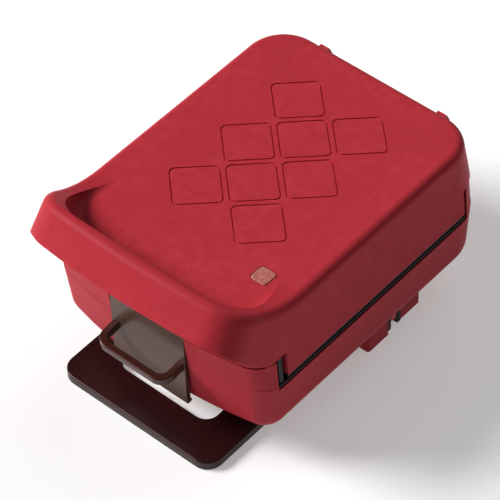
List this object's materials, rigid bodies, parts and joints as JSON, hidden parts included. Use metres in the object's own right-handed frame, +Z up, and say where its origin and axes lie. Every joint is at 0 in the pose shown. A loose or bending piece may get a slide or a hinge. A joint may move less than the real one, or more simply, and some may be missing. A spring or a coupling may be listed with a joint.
{
  "type": "sandwich maker",
  "caption": "Compact hinged sandwich press with quilted lid, raised grip lip, front latch and a stand loop under the base.",
  "frame": {"origin": "on the table, under the middle of the closed cooker", "axes": "+X to the right seen from the front, front and latch face -Y, +Z up"},
  "size_m": [0.1488, 0.218, 0.1258],
  "materials": {
    "red_shell": "glossy deep red",
    "dark_rim": "dark charcoal, satin",
    "plate_coat": "black non-stick coating on cast metal",
    "element": "dull grey steel tube",
    "pan_metal": "bright pressed sheet",
    "ceramic": "off-white ceramic, unglazed",
    "latch_brown": "grey-brown, fine satin",
    "loop_brown": "dark brown, satin",
    "pin_steel": "plain steel",
    "lamp_clear": "pinkish clear plastic, smooth",
    "cup_white": "off-white moulding",
    "lamp_glass": "clear",
    "stand_brown": "dark brown, satin",
    "spacer_grey": "pale grey",
    "rubber_dark": "matte dark grey",
    "clip_red": "bright red",
    "cover_steel": "black enamel",
    "gland_black": "black",
    "block_cream": "cream plastic",
    "fuse_metal": "plain"
  },
  "bodies": {
    "base": {"base_shell": "red_shell", "base_rim": "dark_rim", "lower_plate": "plate_coat", "lower_element": "element", "lower_pan": "pan_metal", "lower_beads": "ceramic", "hinge_pins": "pin_steel", "stand_frame": "stand_brown", "stand_spacers": "spacer_grey", "foot_left": "red_shell", "foot_right": "red_shell", "foot_pads": "rubber_dark", "cord_clips": "clip_red", "base_cover": "cover_steel", "cord_gland": "gland_black", "gland_nut": "gland_black", "thermostat": "pin_steel", "thermal_fuse": "fuse_metal", "terminal_block": "block_cream", "base_rim_screws": "pin_steel", "lower_plate_screws": "pin_steel", "cover_screws": "pin_steel", "stand_screws": "pin_steel", "foot_screws": "pin_steel"},
    "lid": {"lid_shell": "red_shell", "lid_rim": "dark_rim", "upper_plate": "plate_coat", "upper_element": "element", "upper_pan": "pan_metal", "upper_beads": "ceramic", "latch_pin": "pin_steel", "latch_spring": "pin_steel", "lamp_lens": "lamp_clear", "lamp_cup": "cup_white", "lamp_neon": "lamp_glass", "lid_rim_screws": "pin_steel", "upper_plate_screws": "pin_steel"},
    "latch": {"latch": "latch_brown", "latch_loop": "loop_brown"}
  },
  "joints": [
    {"name": "lid_hinge", "type": "hinge", "parent": "base", "child": "lid", "pos_m": [0, 0.1046, 0.0724], "axis": [-1, 0, 0], "range_deg": [0, 100]},
    {"name": "latch_pivot", "type": "hinge", "parent": "lid", "child": "latch", "pos_m": [0, -0.0817, 0.092], "axis": [-1, 0, 0], "range_deg": [0, 55], "stiffness_Nm_per_rad": 0.02}
  ]
}
